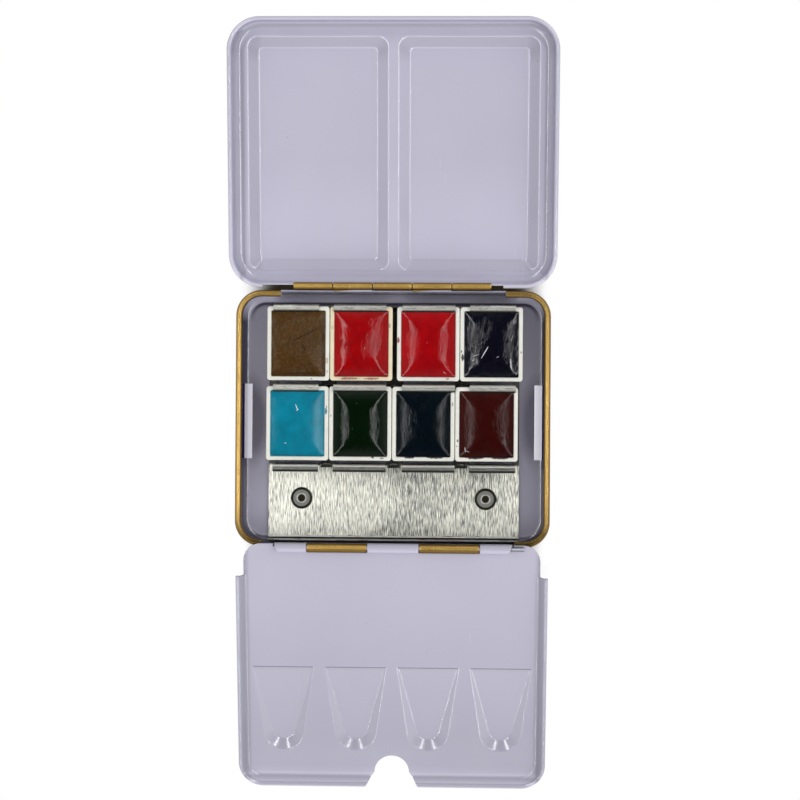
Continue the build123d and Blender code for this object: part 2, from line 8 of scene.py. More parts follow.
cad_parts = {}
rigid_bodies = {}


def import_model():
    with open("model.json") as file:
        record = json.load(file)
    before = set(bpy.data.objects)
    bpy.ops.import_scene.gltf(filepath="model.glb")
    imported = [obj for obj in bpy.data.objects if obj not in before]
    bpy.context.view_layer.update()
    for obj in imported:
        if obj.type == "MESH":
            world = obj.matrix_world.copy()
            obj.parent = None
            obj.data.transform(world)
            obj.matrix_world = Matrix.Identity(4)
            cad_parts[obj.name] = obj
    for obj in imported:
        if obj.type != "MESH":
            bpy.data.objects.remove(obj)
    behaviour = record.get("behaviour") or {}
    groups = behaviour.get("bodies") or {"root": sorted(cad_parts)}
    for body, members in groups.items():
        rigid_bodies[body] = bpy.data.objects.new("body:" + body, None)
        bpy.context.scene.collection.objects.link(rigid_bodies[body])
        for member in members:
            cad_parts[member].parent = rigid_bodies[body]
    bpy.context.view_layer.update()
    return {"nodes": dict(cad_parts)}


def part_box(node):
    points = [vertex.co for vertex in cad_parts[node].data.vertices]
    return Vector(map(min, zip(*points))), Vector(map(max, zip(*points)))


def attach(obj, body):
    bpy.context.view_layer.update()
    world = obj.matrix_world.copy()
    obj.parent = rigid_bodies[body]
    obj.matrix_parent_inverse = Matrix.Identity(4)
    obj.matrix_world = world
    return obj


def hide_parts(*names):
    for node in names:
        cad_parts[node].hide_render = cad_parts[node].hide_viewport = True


bl_info = {
    "name": "Watercolour Tin",
    "version": (1, 0, 0),
    "blender": (4, 5, 0),
    "location": "View3D > Sidebar > Watercolour Tin",
    "description": "Dresses a hinged watercolour tin: enamel, lacquer, tinplate, pans and paint",
    "category": "Object",
}

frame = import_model()
MM = 0.001

# The pins of lid and palette, and how far each leaf is tipped at rest
LID_PIN = Vector((0, 0.033525, 0.0134))
LID_TILT = math.radians(8.3)
PALETTE_PIN = Vector((0, -0.03275, 0.01375))
PALETTE_TILT = math.radians(11.814)

# Middles of the round corners: how far to the side of the middle line, and how far along Y.
# The lid's middle line stands a little to the right of the tray's.
TRAY_CORNER = (0.0335, 0.02605)
LID_CORNER = (0.0335, 0.0922)
LID_MIDDLE_X = 0.0001

# Points that the inner faces look towards: the tray's, and the lid's measured from its pin
TRAY_INSIDE = Vector((0, 0, 0.006))
LID_INSIDE = Vector((0, 0.033, -0.002))

# Reach of the knuckles around a pin, and from where to where along X the hinges run
KNUCKLE_REACH = 0.0014
BACK_HINGE = (-0.0286, 0.0286)
FRONT_HINGE = (-0.0330, 0.0311)
LID_LEAF = (-0.0333, 0.0279)
LID_KNUCKLES = (-0.0255, 0.0255)

# The tray's rolled edge: its middle beyond the corners' middles, its height and its reach
ROLL_OUT, ROLL_HEIGHT, ROLL_REACH = 0.005675, 0.011675, 0.00087

# The tongues bent into the tray: distance from the middle line, height, middle and half width
TONGUE_OUT, TONGUE_HEIGHT = (0.035, 0.0396), (0.0079, 0.0107)
TONGUE_MIDDLE, TONGUE_HALF = -0.0008, 0.0098

# Middles of the two rivets, and the radii where a head's bore, rim and edge start
RIVET_X, RIVET_Y = 0.02385, -0.02075
RIVET_BORE, RIVET_RIM, RIVET_EDGE = 0.00092, 0.00122, 0.00205

# Heights in millimetres at which the marks on the pans' rims and on the paint are centred
RIM_HEIGHT, CAKE_HEIGHT = 11.0, 10.0


def colour(label, value):
    return FloatVectorProperty(
        name=label, description=f"{label} in linear light", subtype="COLOR", size=3,
        min=0.0, max=1.0, default=value,
    )


def length(label, value, words):
    return FloatProperty(
        name=label, description=words, subtype="DISTANCE", unit="LENGTH", default=value,
        min=0.0, precision=5,
    )


def share(label, value, words):
    return FloatProperty(name=label, description=words, default=value, min=0.0)


class MetalFinish(bpy.types.PropertyGroup):
    enamel: colour("Enamel colour", (0.55, 0.535, 0.655))
    # Lit and shaded copies of the enamel: painted shade on slopes, painted highlight on bends,
    # painted light on the tongues, painted shade in deep gaps
    enamel_slope: colour("Enamel on slopes", (0.475, 0.46, 0.575))
    enamel_bend: colour("Enamel on bends", (0.57, 0.555, 0.675))
    tongue: colour("Enamel on the tongues", (0.88, 0.87, 0.97))
    gap: colour("Enamel in deep gaps", (0.012, 0.008, 0.05))
    gold: colour("Gold lacquer colour", (0.565, 0.355, 0.102))
    # Lit and shaded copies of the gold: painted highlight on the top of the rolled edge and of the
    # knuckles, painted shade on their flanks; the shade colour also tints the lacquer's mottling
    rim: colour("Gold rim colour", (0.615, 0.40, 0.125))
    bright_gold: colour("Gold highlight colour", (0.64, 0.42, 0.115))
    gold_shade_and_mottle: colour("Gold lacquer shade", (0.17, 0.085, 0.018))
    plate: colour("Tinplate colour", (0.64, 0.64, 0.55))
    plate_streak_tone: colour("Tinplate streak colour", (0.12, 0.125, 0.13))
    spring: colour("Spring bar colour", (0.60, 0.60, 0.55))
    # Painted shade: a dark sheet for the hinge pins' tails and flanks, the clip's webs, bar faces
    # and lip, and the plate below the pans
    painted_shade: colour("Shaded sheet colour", (0.05, 0.05, 0.047))
    rivet: colour("Rivet colour", (0.17, 0.17, 0.16))
    # Painted shade on the rivets' steep edges and bores
    rivet_edge: colour("Rivet edge colour", (0.03, 0.031, 0.022))
    pin: colour("Hinge pin colour", (0.42, 0.42, 0.48))
    bend: length("Bend radius", 0.0004, "How far the enamel rounds off each bend of the sheet")
    grain_width: length("Grain width", 0.0001, "Width of one streak in the tinplate")
    grain_run: length("Grain run", 0.002, "Length of one streak in the tinplate")


class PaintFinish(bpy.types.PropertyGroup):
    pan: colour("Pan colour", (0.83, 0.83, 0.76))
    cream_pan: colour("Aged pan colour", (0.84, 0.74, 0.52))
    umber: colour("Umber", (0.078, 0.034, 0.004))
    scarlet: colour("Scarlet", (0.37, 0.0, 0.002))
    crimson: colour("Crimson", (0.40, 0.0, 0.003))
    navy: colour("Navy", (0.0022, 0.002, 0.009))
    turquoise: colour("Turquoise", (0.0, 0.235, 0.35))
    green: colour("Green", (0.0006, 0.008, 0.0013))
    teal: colour("Teal", (0.0008, 0.0045, 0.0085))
    maroon: colour("Maroon", (0.041, 0.0025, 0.0014))
    brink: share("Edge slope", 0.45, "How steeply a paint cake falls from its edge")
    wrinkle: length("Wrinkle height", 0.00009, "Height of the wrinkles on dried paint")


class StudioLight(bpy.types.PropertyGroup):
    side: share("Side lamp power", 8.0, "Power of each of the two side lamps, in watts")
    sky: share("Room light", 0.88, "Strength of the light from the room")
    room_gloss: share("Room gloss", 0.12, "How bright the room looks in glossy surfaces")


# Shader helpers


def material(name):
    mat = bpy.data.materials.new(name)
    mat.use_nodes = True
    return mat, mat.node_tree, mat.node_tree.nodes["Principled BSDF"]


def add(tree, kind, **settings):
    made = tree.nodes.new(kind)
    for key, value in settings.items():
        setattr(made, key, value)
    return made


def feed(tree, value, slot):
    """Links a socket to a slot, or sets the slot to a plain value."""
    if isinstance(value, bpy.types.NodeSocket):
        tree.links.new(value, slot)
    else:
        slot.default_value = value


def number(tree, operation, *values, clamp=False):
    """A maths node; each of its values is a socket or a plain number."""
    made = add(tree, "ShaderNodeMath", operation=operation, use_clamp=clamp)
    for value, slot in zip(values, made.inputs):
        feed(tree, value, slot)
    return made.outputs[0]


def slant(tree, first, second):
    """The length of a step that goes so far one way and so far across it."""
    squares = [number(tree, "MULTIPLY", leg, leg) for leg in (first, second)]
    return number(tree, "SQRT", number(tree, "ADD", *squares))


def mix(tree, factor, first, second):
    """One colour over another; each is a socket or three plain numbers."""
    made = add(tree, "ShaderNodeMix", data_type="RGBA")
    feed(tree, factor, made.inputs[0])
    for value, slot in ((first, made.inputs[6]), (second, made.inputs[7])):
        if not isinstance(value, bpy.types.NodeSocket):
            value = (*value[:3], 1)
        feed(tree, value, slot)
    return made.outputs[2]


def spread(tree, value, low, high, out_low=0.0, out_high=1.0):
    """Maps a value from one range to another, held at the ends."""
    made = add(tree, "ShaderNodeMapRange")
    feed(tree, value, made.inputs[0])
    for slot, edge in zip(made.inputs[1:5], (low, high, out_low, out_high)):
        slot.default_value = edge
    return made.outputs[0]


def steps(tree, value, marks):
    """A level that runs straight from mark to mark, each a place in millimetres and a level."""
    level = marks[0][1]
    for (low, before), (high, after) in zip(marks, marks[1:]):
        part = spread(tree, value, low * MM, high * MM, 0.0, after - before)
        level = number(tree, "ADD", part, level)
    return level


def split_place(tree, place):
    """The X, Y and Z of a place, as the outputs of one node."""
    made = add(tree, "ShaderNodeSeparateXYZ")
    feed(tree, place, made.inputs[0])
    return made.outputs


def dimmed(tree, base, level):
    """A colour times a level."""
    made = add(tree, "ShaderNodeVectorMath", operation="SCALE")
    feed(tree, base, made.inputs[0])
    feed(tree, level, made.inputs["Scale"])
    return made.outputs[0]


def graded(tree, base, place, grades):
    """Paints shade or light into a colour along axes, dimming or lifting it; each grade is an axis
    and its marks.
    """
    axes = split_place(tree, place)
    for axis, marks in grades:
        base = dimmed(tree, base, steps(tree, axes[axis], marks))
    return base


def object_place(tree):
    return add(tree, "ShaderNodeTexCoord").outputs["Object"]


def noise(tree, place, scale, detail=2.0, rough=0.5, warp=0.0):
    made = add(tree, "ShaderNodeTexNoise")
    feed(tree, place, made.inputs["Vector"])
    settings = {"Scale": scale, "Detail": detail, "Roughness": rough, "Distortion": warp}
    for label, value in settings.items():
        feed(tree, value, made.inputs[label])
    return made.outputs[0]


def soft_edges(tree, radius):
    """A normal that rounds the sheet's bends and the facets of its curves."""
    made = add(tree, "ShaderNodeBevel", samples=6)
    feed(tree, radius, made.inputs["Radius"])
    return made.outputs[0]


def bump(tree, height, distance, strength=1.0, under=None):
    """A normal tilted by a height; the strength is a socket or a plain number."""
    made = add(tree, "ShaderNodeBump")
    feed(tree, strength, made.inputs["Strength"])
    feed(tree, distance, made.inputs["Distance"])
    feed(tree, height, made.inputs["Height"])
    if under is not None:
        feed(tree, under, made.inputs["Normal"])
    return made.outputs[0]


# Shared effects, each a node group


def new_group(name, numbers, *outputs):
    """A node group that takes a place and named numbers, and gives named numbers."""
    tree = bpy.data.node_groups.new(name, "ShaderNodeTree")
    tree.interface.new_socket("Place", in_out="INPUT", socket_type="NodeSocketVector")
    for label, value in numbers.items():
        made = tree.interface.new_socket(label, in_out="INPUT", socket_type="NodeSocketFloat")
        made.default_value = value
    for label in outputs:
        tree.interface.new_socket(label, in_out="OUTPUT", socket_type="NodeSocketFloat")
    return tree, add(tree, "NodeGroupInput").outputs, add(tree, "NodeGroupOutput").inputs


def use_group(tree, name, **values):
    made = add(tree, "ShaderNodeGroup", node_tree=bpy.data.node_groups[name])
    for label, value in values.items():
        feed(tree, value, made.inputs[label])
    return made.outputs


def grain_group():
    """Streaks drawn out along one direction, as rolled sheet shows."""
    tree, given, out = new_group(
        "Rolled grain", {"Across": 3000.0, "Along": 500.0}, "Streaks", "Clouds"
    )
    stretch = add(tree, "ShaderNodeCombineXYZ")
    for label, slot in zip(("Across", "Along", "Along"), stretch.inputs):
        feed(tree, given[label], slot)
    scaled = add(tree, "ShaderNodeVectorMath", operation="MULTIPLY")
    feed(tree, given["Place"], scaled.inputs[0])
    feed(tree, stretch.outputs[0], scaled.inputs[1])
    feed(tree, noise(tree, scaled.outputs[0], 1.0), out["Streaks"])
    feed(tree, noise(tree, given["Place"], 60.0, 1.0), out["Clouds"])


def scratch_group():
    """Fine scratches in three directions, in patches."""
    tree, given, out = new_group("Fine scratches", {"Amount": 0.5}, "Mask")
    lines = []
    for turn, across in ((0.5, 2600.0), (-0.9, 2100.0), (1.5, 2900.0)):
        mapping = add(tree, "ShaderNodeMapping", vector_type="POINT")
        mapping.inputs["Rotation"].default_value = (0, 0, turn)
        mapping.inputs["Scale"].default_value = (across, 70.0, 70.0)
        feed(tree, given["Place"], mapping.inputs["Vector"])
        lines.append(spread(tree, noise(tree, mapping.outputs[0], 1.0, 0.0), 0.76, 0.82))
    every = number(tree, "MAXIMUM", number(tree, "MAXIMUM", lines[0], lines[1]), lines[2])
    where = spread(tree, noise(tree, given["Place"], 130.0), 0.42, 0.62)
    mask = number(tree, "MULTIPLY", every, where)
    feed(tree, number(tree, "MULTIPLY", mask, given["Amount"], clamp=True), out["Mask"])


def speck_group():
    """Scattered dots of uneven size."""
    tree, given, out = new_group("Specks", {"Spacing": 300.0, "Size": 0.1, "Share": 0.3}, "Mask")
    wander = add(tree, "ShaderNodeTexNoise")
    feed(tree, 900.0, wander.inputs["Scale"])
    feed(tree, given["Place"], wander.inputs["Vector"])
    shift = dimmed(tree, wander.outputs["Color"], 0.0009)
    moved = add(tree, "ShaderNodeVectorMath", operation="ADD")
    feed(tree, given["Place"], moved.inputs[0])
    feed(tree, shift, moved.inputs[1])
    cells = add(tree, "ShaderNodeTexVoronoi")
    feed(tree, moved.outputs[0], cells.inputs["Vector"])
    feed(tree, given["Spacing"], cells.inputs["Scale"])
    tone = add(tree, "ShaderNodeSeparateColor")
    feed(tree, cells.outputs["Color"], tone.inputs[0])
    chosen = number(tree, "LESS_THAN", tone.outputs[0], given["Share"])
    radius = number(tree, "MULTIPLY", given["Size"], tone.outputs[1])
    inside = number(tree, "LESS_THAN", cells.outputs["Distance"], radius)
    feed(tree, number(tree, "MULTIPLY", chosen, inside), out["Mask"])


def beyond_corners(tree, across, along, corner):
    """How far a place lies beyond a rectangle whose corner is given, rounded at its corners."""
    over = [
        number(tree, "MAXIMUM", number(tree, "SUBTRACT", value, edge), 0.0)
        for value, edge in zip((across, along), corner)
    ]
    return slant(tree, *over)


def tray_shade_group():
    """How much light reaches each place inside the tray: walls, bends and below the tongues."""
    tree, given, out = new_group("Tray shade", {}, "Level")
    x, y = split_place(tree, given["Place"])[:2]
    across = number(tree, "ABSOLUTE", x)
    beyond = beyond_corners(tree, across, number(tree, "ABSOLUTE", y), TRAY_CORNER)
    side = steps(tree, beyond, ((3.9, 1.0), (4.2, 1.15), (4.45, 1.0), (4.75, 0.17)))
    back = steps(tree, beyond, (
        (2.6, 1.0), (3.2, 0.6), (3.4, 0.16), (3.9, 0.2), (4.2, 1.6), (5.9, 1.6), (6.1, 0.75),
    ))
    at_back = spread(tree, y, 0.025, 0.0295)
    walls = number(tree, "MULTIPLY_ADD", number(tree, "SUBTRACT", back, side), at_back, side)
    near_x = number(tree, "DIVIDE", number(tree, "SUBTRACT", across, 0.0368), 0.0042)
    near_y = number(tree, "DIVIDE", number(tree, "SUBTRACT", y, TONGUE_MIDDLE), 0.0115)
    tongue = spread(tree, slant(tree, near_x, near_y), 0.6, 1.15, 0.5, 1.0)
    right = spread(tree, x, 0.0, 0.01, 1.0, 0.82)
    front = spread(tree, y, -0.024, -0.014, 1.25, 1.0)
    level = number(tree, "MULTIPLY", number(tree, "MULTIPLY", walls, tongue), right)
    feed(tree, number(tree, "MULTIPLY", level, front), out["Level"])


def lid_shade_group():
    """Shade in the folds just inside the lid's rolled edge, which follows its round corners."""
    tree, given, out = new_group("Lid shade", {}, "Level")
    x, y = split_place(tree, given["Place"])[:2]
    across = number(tree, "ABSOLUTE", number(tree, "SUBTRACT", x, LID_MIDDLE_X))
    beyond = beyond_corners(tree, across, y, LID_CORNER)
    side = steps(tree, beyond, ((4.3, 1.0), (5.1, 0.69), (5.5, 0.69), (6.0, 0.95)))
    far = steps(tree, beyond, ((5.6, 0.93), (6.2, 0.93), (6.7, 0.68), (7.1, 0.7), (7.5, 1.1)))
    at_far = spread(tree, y, 0.093, 0.0975)
    level = number(tree, "MULTIPLY_ADD", number(tree, "SUBTRACT", far, side), at_far, side)
    feed(tree, level, out["Level"])


# Finishes, each a material


def enamel_material(look, name, tint, grades=(), tray=False, spec=0.8, shade=None):
    """White enamel; the tray's gets painted shade in its deep gaps and painted light where the Tray
    shade group lifts it, the others painted shade and light by marks or a shade group.
    """
    mat, tree, skin = material(name)
    place = object_place(tree)
    tone = noise(tree, place, 38.0, 3.0)
    base = mix(tree, spread(tree, tone, 0.3, 0.7), [c * 0.97 for c in tint], tint)
    base = graded(tree, base, place, grades)
    if shade:
        base = dimmed(tree, base, use_group(tree, shade, Place=place)[0])
    if tray:
        level = use_group(tree, "Tray shade", Place=place)[0]
        lifted = dimmed(tree, base, number(tree, "MAXIMUM", level, 1.0))
        base = mix(tree, level, look.gap, lifted)
    specks = use_group(tree, "Specks", Place=place, Spacing=330.0, Size=0.06, Share=0.16)
    base = mix(tree, number(tree, "MULTIPLY", specks[0], 0.5), base, (0.12, 0.12, 0.14))
    feed(tree, base, skin.inputs["Base Color"])
    gloss = spread(tree, noise(tree, place, 120.0, 3.0), 0.3, 0.7, 0.13, 0.19)
    scratches = use_group(tree, "Fine scratches", Place=place, Amount=0.35)
    gloss = number(tree, "ADD", gloss, number(tree, "MULTIPLY", scratches[0], 0.3))
    feed(tree, gloss, skin.inputs["Roughness"])
    ripple = noise(tree, place, 160.0, 1.0)
    edges = soft_edges(tree, look.bend)
    feed(tree, bump(tree, ripple, 0.00002, 0.25, edges), skin.inputs["Normal"])
    skin.inputs["Specular IOR Level"].default_value = spec
    return mat


def gold_material(look, name, tint, grades=()):
    """Gold lacquer over rolled sheet, with clouds and fine scratches."""
    mat, tree, skin = material(name)
    place = object_place(tree)
    grain = use_group(tree, "Rolled grain", Place=place, Across=1800.0, Along=3200.0)
    tone = spread(tree, grain["Streaks"], 0.3, 0.75)
    base = mix(tree, tone, tint, [c * 0.75 for c in tint])
    cloud = spread(tree, noise(tree, place, 320.0, 2.0, 0.5), 0.35, 0.75)
    base = mix(tree, number(tree, "MULTIPLY", cloud, 0.2), base, look.gold_shade_and_mottle)
    scratches = use_group(tree, "Fine scratches", Place=place, Amount=0.5)
    base = mix(tree, scratches[0], base, [min(1, c * 1.6 + 0.04) for c in tint])
    base = graded(tree, base, place, grades)
    feed(tree, base, skin.inputs["Base Color"])
    skin.inputs["Metallic"].default_value = 1.0
    gloss = spread(tree, grain["Streaks"], 0.25, 0.75, 0.26, 0.38)
    feed(tree, gloss, skin.inputs["Roughness"])
    edges = soft_edges(tree, look.bend)
    feed(tree, bump(tree, grain["Streaks"], 0.00001, 0.5, edges), skin.inputs["Normal"])
    return mat


def tinplate_material(look):
    """The clip plate's bare sheet: dark and bright streaks, with a painted dark reflection across
    its middle and painted shade below the pans.
    """
    mat, tree, skin = material("streaked tinplate")
    place = object_place(tree)
    grain = use_group(
        tree, "Rolled grain", Place=place, Across=1 / look.grain_width, Along=1 / look.grain_run
    )
    x, y = split_place(tree, place)[:2]
    # Painted dark reflection: fewer dark streaks and more bright ones on the left, more dark ones
    # across the middle, fewer again on the far right
    painted_darkening = spread(tree, x, -0.018, 0.002, -0.06, 0.016)
    far = spread(tree, x, 0.008, 0.028, 0.0, -0.055)
    cloud = spread(tree, grain["Clouds"], 0.35, 0.65, -0.03, 0.03)
    level = number(tree, "ADD", number(tree, "ADD", grain["Streaks"], painted_darkening), cloud)
    level = number(tree, "ADD", level, far)
    streak = spread(tree, level, 0.48, 0.58)
    base = mix(tree, streak, look.plate, look.plate_streak_tone)
    bright = spread(tree, level, 0.36, 0.44, 1.0, 0.0)
    base = mix(tree, bright, base, (1.0, 1.0, 0.9))
    # Painted shade on the plate below the pans
    under_pans = spread(tree, y, -0.0124, -0.0118)
    base = mix(tree, under_pans, base, look.painted_shade)
    feed(tree, base, skin.inputs["Base Color"])
    skin.inputs["Metallic"].default_value = 0.75
    gloss = spread(tree, grain["Streaks"], 0.3, 0.7, 0.36, 0.5)
    feed(tree, gloss, skin.inputs["Roughness"])
    feed(tree, bump(tree, grain["Streaks"], 0.00003, 0.6), skin.inputs["Normal"])
    return mat


def spring_material(name, tint, gloss=0.24):
    """Plain worked metal for the bars, rivets and pins."""
    mat, tree, skin = material(name)
    place = object_place(tree)
    grain = use_group(tree, "Rolled grain", Place=place, Across=300.0, Along=4200.0)
    tone = spread(tree, grain["Streaks"], 0.3, 0.75)
    base = mix(tree, tone, tint, [c * 0.88 for c in tint])
    scratches = use_group(tree, "Fine scratches", Place=place, Amount=0.15)
    base = mix(tree, scratches[0], base, [min(1, c * 1.7) for c in tint])
    feed(tree, base, skin.inputs["Base Color"])
    skin.inputs["Metallic"].default_value = 0.9
    feed(tree, spread(tree, tone, 0.0, 1.0, gloss, gloss + 0.12), skin.inputs["Roughness"])
    feed(tree, bump(tree, tone, 0.000004, 0.4), skin.inputs["Normal"])
    return mat


def blot(tree, place, centre, reach, turn=0.0, ragged=1.5, scale=2200.0):
    """A ragged spot: 1 inside, 0 outside, with its middle and half sizes in millimetres."""
    around = add(tree, "ShaderNodeMapping", vector_type="TEXTURE")
    around.inputs["Location"].default_value = [value * MM for value in centre]
    around.inputs["Rotation"].default_value = (0, 0, math.radians(turn))
    around.inputs["Scale"].default_value = [value * MM for value in reach]
    feed(tree, place, around.inputs["Vector"])
    away = add(tree, "ShaderNodeVectorMath", operation="LENGTH")
    feed(tree, around.outputs[0], away.inputs[0])
    rough = noise(tree, place, scale, 3.0)
    edge = number(tree, "ADD", away.outputs["Value"], number(tree, "MULTIPLY", rough, ragged))
    return spread(tree, edge, 0.85 + ragged / 2, 1.0 + ragged / 2, 1.0, 0.0)


def pan_material(name, tint, centre, marks):
    """A pan's plastic, with spots of paint on its rim."""
    mat, tree, skin = material(name)
    place = object_place(tree)
    tone = noise(tree, place, 260.0, 3.0)
    base = mix(tree, spread(tree, tone, 0.35, 0.7), tint, [c * 0.95 for c in tint])
    for spot, (x, y, reach_x, reach_y, strength) in marks:
        middle = (centre.x / MM + x, centre.y / MM + y, RIM_HEIGHT)
        mark = blot(tree, place, middle, (reach_x, reach_y, 2.5))
        base = mix(tree, number(tree, "MULTIPLY", mark, strength), base, spot)
    feed(tree, base, skin.inputs["Base Color"])
    gloss = spread(tree, noise(tree, place, 400.0), 0.3, 0.7, 0.22, 0.36)
    feed(tree, gloss, skin.inputs["Roughness"])
    feed(tree, bump(tree, noise(tree, place, 700.0), 0.00002, 0.3), skin.inputs["Normal"])
    skin.inputs["Subsurface Weight"].default_value = 0.1
    skin.inputs["Subsurface Scale"].default_value = 0.001
    return mat


def paint_material(name, tint, gloss, shine, dust, centre, strokes, patches):
    """Dried paint, with dust, pale scratches and a painted glint, dark strokes and crumpled
    patches.
    """
    mat, tree, skin = material(name)
    place = object_place(tree)
    tone = noise(tree, place, 240.0, 4.0, 0.6, 0.6)
    deep = [c * 0.7 for c in tint]
    base = mix(tree, spread(tree, tone, 0.3, 0.7), deep, tint)
    cloud = spread(tree, noise(tree, place, 420.0, 5.0, 0.7, 1.2), 0.52, 0.75)
    base = mix(tree, number(tree, "MULTIPLY", cloud, dust), base, [c * 0.8 + 0.08 for c in tint])
    grain = spread(tree, noise(tree, place, 2000.0, 2.0), 0.5, 0.68, 0.0, dust * 1.6)
    base = mix(tree, grain, base, [c * 1.6 + 0.012 for c in tint])
    specks = use_group(tree, "Specks", Place=place, Spacing=900.0, Size=0.16, Share=0.1)
    pale = [c * 0.5 + 0.2 for c in tint]
    base = mix(tree, number(tree, "MULTIPLY", specks[0], 0.35), base, pale)
    for x, y, turn, half_run, half_width, strength in strokes:
        middle = (centre.x / MM + x, centre.y / MM + y, CAKE_HEIGHT)
        mark = blot(tree, place, middle, (half_run, half_width, 3.0), turn, 0.9, 1500.0)
        stroke = (0.75, 0.75, 0.78) if strength > 0 else [c * 0.3 for c in tint]
        base = mix(tree, number(tree, "MULTIPLY", mark, abs(strength)), base, stroke)
    feed(tree, base, skin.inputs["Base Color"])
    stretch = add(tree, "ShaderNodeMapping")
    stretch.inputs["Rotation"].default_value = (0, 0, 0.5)
    stretch.inputs["Scale"].default_value = (1.0, 0.45, 1.0)
    feed(tree, place, stretch.inputs["Vector"])
    wrinkles = noise(tree, stretch.outputs[0], 1100.0, 5.0, 0.65, 0.8)
    feed(tree, spread(tree, wrinkles, 0.3, 0.7, gloss, gloss + 0.05), skin.inputs["Roughness"])
    normal = bump(tree, wrinkles, 0.00004, 0.8)
    for x, y, turn, half_run, half_width, strength in patches:
        middle = (centre.x / MM + x, centre.y / MM + y, CAKE_HEIGHT)
        where = blot(tree, place, middle, (half_run, half_width, 3.0), turn, 0.8, 500.0)
        crumple = noise(tree, stretch.outputs[0], 1000.0, 4.0, 0.6, 1.0)
        normal = bump(tree, crumple, 0.0002, number(tree, "MULTIPLY", where, strength), normal)
    feed(tree, normal, skin.inputs["Normal"])
    skin.inputs["Specular IOR Level"].default_value = shine
    return mat


# Mesh helpers


def clear_selection():
    if bpy.context.object and bpy.context.object.mode != "OBJECT":
        bpy.ops.object.mode_set(mode="OBJECT")
    bpy.ops.object.select_all(action="DESELECT")


def only(obj):
    clear_selection()
    obj.select_set(True)
    bpy.context.view_layer.objects.active = obj


def coat(node, finishes, pick=None):
    """Gives each face of a CAD node the finish that pick names, or all of them the only one."""
    mesh = frame["nodes"][node].data
    mesh.materials.clear()
    for mat in finishes.values():
        mesh.materials.append(mat)
    names = list(finishes)
    for face in mesh.polygons:
        face.material_index = names.index(pick(face.center, face.normal)) if pick else 0


def turned_up(vector, tilt):
    """A direction, or a way from the pin, as it is once its leaf has been turned level."""
    return Matrix.Rotation(-tilt, 3, "X") @ vector


# Which finish a face wears, by its centre and its normal; each name stands in a coat call


def within(value, ends):
    return ends[0] < value < ends[1]


def on_knuckle(centre):
    return any(
        math.hypot(centre.y - pin.y, centre.z - pin.z) < KNUCKLE_REACH
        for pin in (LID_PIN, PALETTE_PIN)
    )


def knuckle_finish(normal, shaded_from=-0.4):
    """Painted highlight on top of the roll, plain gold behind that, painted shade on both flanks of
    the roll and darker painted shade at its edges.
    """
    if normal.z < 0.5 or normal.y < -0.75:
        return "flank"
    if normal.y < shaded_from or normal.y > 0.5:
        return "painted_darkening"
    return "painted_highlight" if normal.y < 0.2 else "gold"


def tray_finish(centre, normal):
    x, y, z = centre
    at_hinge = (y > 0 and within(x, BACK_HINGE)) or (y < 0 and within(x, FRONT_HINGE))
    back_ledge = 0.0325 < y < 0.0331 and z < 0.01325
    if back_ledge and normal.z > 0.9:
        return "enamel"
    if on_knuckle(centre):
        return knuckle_finish(normal, -0.2 if y < 0 else -0.4)
    # Painted shade on the gold above the rolled edge
    above_roll = z > 0.0125 or (abs(y) > 0.0321 and z > 0.0124)
    if above_roll:
        return "flank"
    to_side, to_end = abs(x) - TRAY_CORNER[0], abs(y) - TRAY_CORNER[1]
    out = math.hypot(max(to_side, 0), max(to_end, 0)) + min(max(to_side, to_end), 0)
    rolled = math.hypot(out - ROLL_OUT, z - ROLL_HEIGHT) < ROLL_REACH
    if rolled and not (to_end >= to_side and at_hinge):
        # Painted highlight on the top of the rolled edge, painted shade on its flanks
        if normal.z > 0.82:
            return "rim"
        return "painted_darkening" if normal.z > 0.6 else "flank"
    if at_hinge and z > 0.012 and normal.z > 0.7:
        return "enamel"
    on_tongue = within(abs(x), TONGUE_OUT) and within(z, TONGUE_HEIGHT)
    if on_tongue and abs(y - TONGUE_MIDDLE) < TONGUE_HALF:
        # Painted light on the tongue's top, painted shade on its slanted root below the rolled edge
        if normal.z > 0.9:
            return "tongue"
        return "hidden" if normal.z > -0.1 else "gold"
    on_floor = z < 0.0013
    if on_floor:
        return "enamel" if normal.z > 0 and z > 0.0003 else "gold"
    return "gold" if normal.dot(TRAY_INSIDE - centre) < 0 else "enamel"


def lid_finish(centre, normal):
    away = turned_up(centre - LID_PIN, LID_TILT)
    facing = turned_up(normal, LID_TILT)
    if away.y < 0.0011 and within(away.x, LID_LEAF):
        by_pin = away.z > -0.0018
        if by_pin and within(away.x, LID_KNUCKLES):
            return knuckle_finish(normal)
        return "enamel" if facing.y > 0.3 or by_pin else "gold"
    # Painted shade on the steep sides of the rolled edge
    on_roll = away.z > -0.00284
    if on_roll:
        return "enamel" if facing.z > 0.35 else "slope"
    # Painted highlight on the wells' bends, painted shade on their slopes
    in_wells = abs(away.x + 0.0002) < 0.0376 and 0.0033 < away.y < 0.0627
    if in_wells and 0 < facing.z < 0.9985:
        return "bend" if facing.z > 0.9 else "slope"
    # Painted shade on the side walls inside the flange
    looks_in = away.x * facing.x < 0 and abs(facing.x) > abs(facing.y)
    if away.z > -0.0071 and looks_in:
        return "slope"
    return "enamel" if facing.dot(LID_INSIDE - away) > 0 else "gold"


def palette_finish(centre, normal):
    away = turned_up(centre - PALETTE_PIN, PALETTE_TILT)
    facing = turned_up(normal, PALETTE_TILT)
    # Painted shade on the steep sides of the rolled edge
    on_roll = away.z > 0.0002 and away.y < -0.002
    if on_roll and facing.z < 0.3:
        return "slope"
    # Painted shade on the step of the crease
    at_crease = -0.0324 < away.y < -0.0317
    return "crease" if at_crease and facing.y < -0.3 else "enamel"


